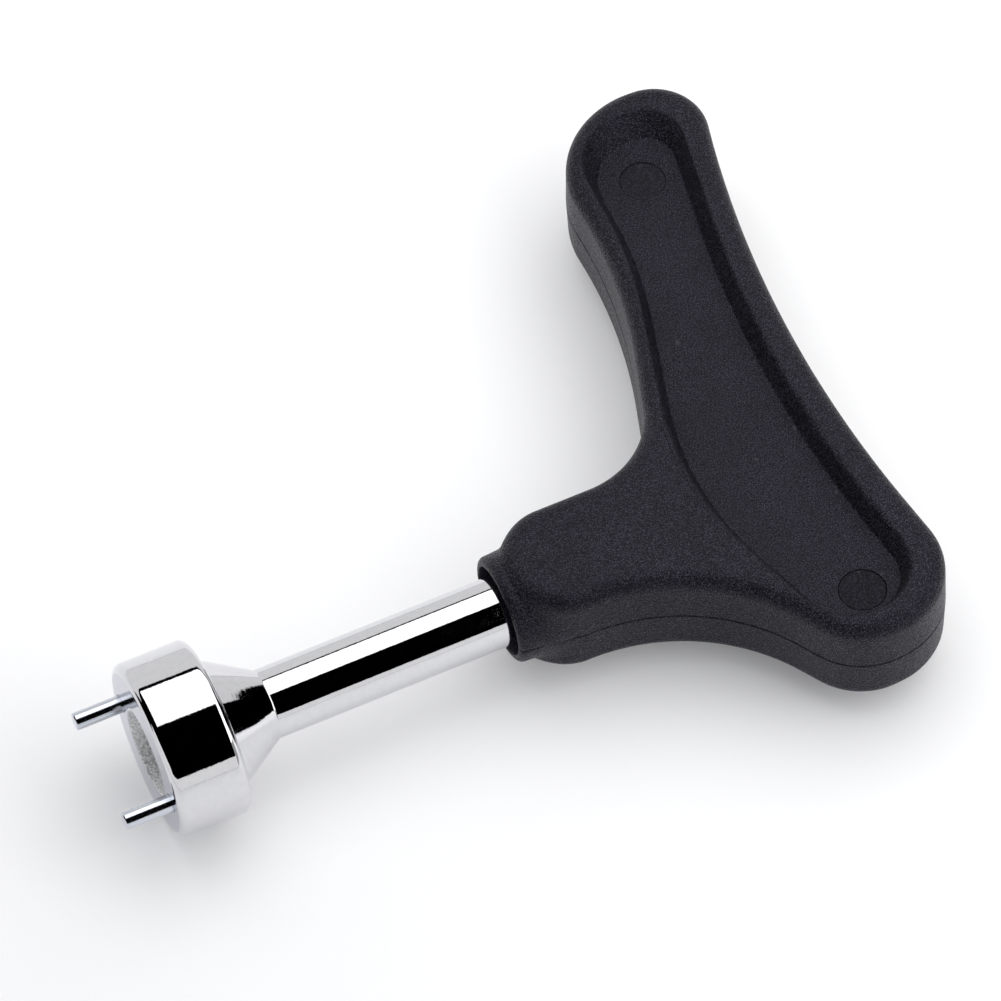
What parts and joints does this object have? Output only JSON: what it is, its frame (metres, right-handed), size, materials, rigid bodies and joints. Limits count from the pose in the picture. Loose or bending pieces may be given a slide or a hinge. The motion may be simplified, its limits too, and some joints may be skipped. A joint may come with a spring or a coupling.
{
  "type": "two-pin t-handle wrench",
  "caption": "Hand wrench with an uneven moulded T handle, a plated round shaft and a round head that carries two drive pins either side of a blind hole.",
  "frame": {"origin": "centre of the head's front face, on the spindle axis", "axes": "+X along the spindle towards the handle, +Y along the long arm, +Z out of the front half of the handle"},
  "size_m": [0.1196, 0.099, 0.0252],
  "materials": {
    "handle_plastic": "fine spark-eroded grain, satin black",
    "plug_plastic": "smooth black, faintly scuffed",
    "chrome_plate": "bright plate with a slight ripple",
    "pin_steel": "ground and bright",
    "hidden_steel": "zinc plated"
  },
  "bodies": {
    "root": {"front_shell": "handle_plastic", "rear_shell": "handle_plastic", "spindle": "chrome_plate", "drive_pin_left": "pin_steel", "drive_pin_right": "pin_steel", "cross_pin": "hidden_steel", "long_arm_screw": "hidden_steel", "short_arm_screw": "hidden_steel", "long_arm_plug": "plug_plastic", "short_arm_plug": "plug_plastic"}
  },
  "joints": []
}
